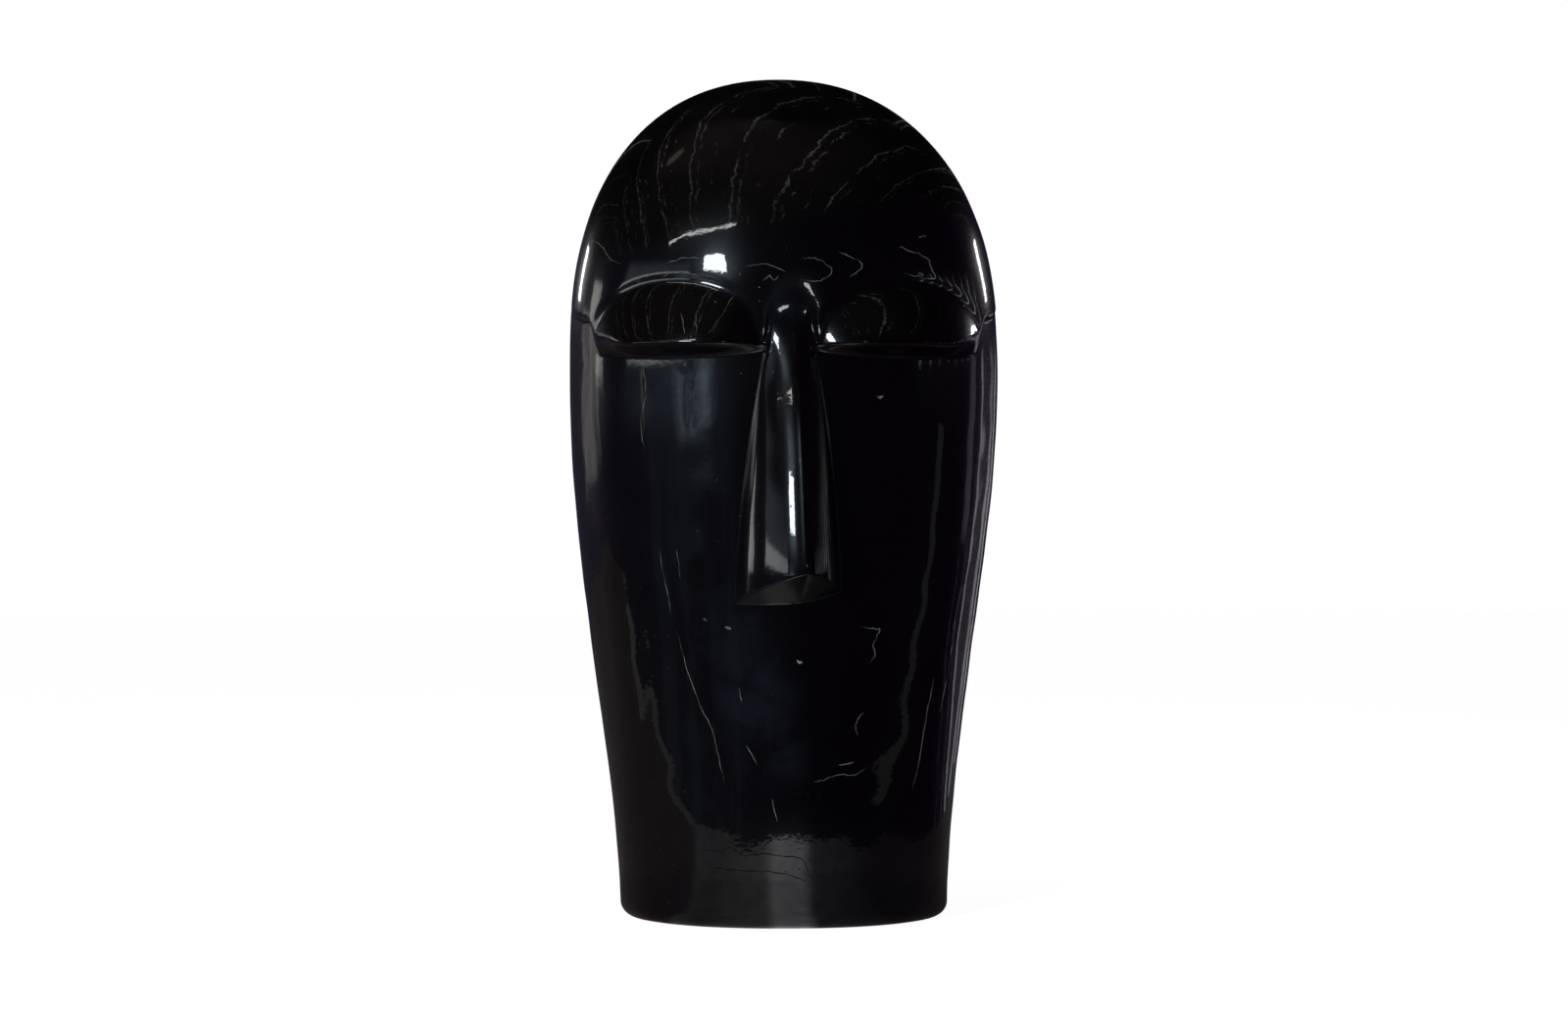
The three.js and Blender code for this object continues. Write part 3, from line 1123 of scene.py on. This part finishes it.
class SCULPTURE_OT_head(bpy.types.Operator):
    """Cast the head with its lids, brow and nose, and lacquer it"""

    bl_idname = "sculpture.head"
    bl_label = "Cast Head"

    def execute(self, context):
        settings = context.scene.sculpture
        mesh = casting(settings)
        if not mesh.polygons:
            raise RuntimeError("the head came out empty")
        mesh.materials.append(lacquer(settings.look))
        head = bpy.data.objects.new("head_casting", mesh)
        context.scene.collection.objects.link(head)
        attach(head, "root")
        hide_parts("head")
        return {"FINISHED"}


class SCULPTURE_OT_marks(bpy.types.Operator):
    """Lay the fine scratches, blisters and cracks on the head"""

    bl_idname = "sculpture.marks"
    bl_label = "Lay Marks"

    def execute(self, context):
        sizes = context.scene.sculpture.sizes
        form = HeadForm(sizes)
        worn = mark_material("worn_lacquer", low=0.04, high=0.22, roughness=0.5)
        dark = mark_material("open_crack", low=0.001, high=0.004, roughness=0.9)
        for name, paths, radius, material in (
            ("hairlines", PALE_HAIRLINES, HAIRLINE_RADIUS, worn),
            ("blisters", PALE_BLISTERS, BLISTER_RADIUS, worn),
            ("cracks", DARK_CRACKS, CRACK_RADIUS, dark),
        ):
            mesh = thread_mesh(name, form, sizes.sway, paths, radius)
            if not mesh.polygons:
                raise RuntimeError(f"the {name} came out empty")
            mesh.materials.append(material)
            marks = bpy.data.objects.new(name, mesh)
            context.scene.collection.objects.link(marks)
            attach(marks, "root")
        return {"FINISHED"}


class SCULPTURE_OT_studio(bpy.types.Operator):
    """Set up the pale floor, the soft lights and the camera"""

    bl_idname = "sculpture.studio"
    bl_label = "Set Up Studio"

    def execute(self, context):
        studio = context.scene.sculpture.studio
        key, side = studio.key_light, studio.side_light
        floor = flat_board("pale_floor", FLOOR_SIZE, FLOOR_SIZE, (0, 0, 0), pale_paper())
        floor.visible_glossy = False
        floor_shape("table_top", TABLE_TOP, TABLE_TONES)
        floor_shape("table_rim", TABLE_RIM, RIM_TONES, RIM_HEIGHT)
        floor_shape("table_gap", TABLE_GAP, GAP_TONES)
        studio_world()
        panel_light("key", -31, 14.8, wide=11, tall=6.5, brightness=key, colour=COOL_WHITE)
        panel_light("front_lamp", 5, 3, wide=3, tall=2.5, brightness=key * 0.4, colour=COOL_WHITE)
        panel_light("left_window", -142, 10.3, wide=4, tall=6, brightness=side)
        panel_light("right_window", 134, 11.5, wide=4, tall=8, brightness=side)
        tube_light("ceiling_tube", TUBE_START, TUBE_END, height=1.97, thickness=0.06, brightness=9.0)
        studio_camera(studio)
        context.scene.view_settings.view_transform = "Standard"
        if context.scene.camera is None:
            raise RuntimeError("the studio has no camera")
        return {"FINISHED"}


class SculptureSettings(bpy.types.PropertyGroup):
    sizes: PointerProperty(type=HeadSizes, name="Sizes", description="Sizes of the casting")
    look: PointerProperty(type=LacquerLook, name="Lacquer", description="Look of the lacquer")
    studio: PointerProperty(type=StudioSetup, name="Studio", description="Camera and lights")


class SCULPTURE_PT_panel(bpy.types.Panel):
    bl_idname = "SCULPTURE_PT_panel"
    bl_label = "Standing Head"
    bl_space_type = "VIEW_3D"
    bl_region_type = "UI"
    bl_category = "Sculpture"

    def draw(self, context):
        settings = context.scene.sculpture
        for group in (settings.sizes, settings.look, settings.studio):
            box = self.layout.box()
            for name in group.__annotations__:
                box.prop(group, name)
        self.layout.operator("sculpture.head")
        self.layout.operator("sculpture.marks")
        self.layout.operator("sculpture.studio")


CLASSES = (
    HeadSizes,
    LacquerLook,
    StudioSetup,
    SculptureSettings,
    SCULPTURE_OT_head,
    SCULPTURE_OT_marks,
    SCULPTURE_OT_studio,
    SCULPTURE_PT_panel,
)


def register():
    for cls in CLASSES:
        bpy.utils.register_class(cls)
    bpy.types.Scene.sculpture = PointerProperty(type=SculptureSettings)


def unregister():
    del bpy.types.Scene.sculpture
    for cls in reversed(CLASSES):
        bpy.utils.unregister_class(cls)


def main():
    register()
    bpy.ops.sculpture.studio()
    bpy.ops.sculpture.head()
    bpy.ops.sculpture.marks()


if __name__ == "__main__":
    main()
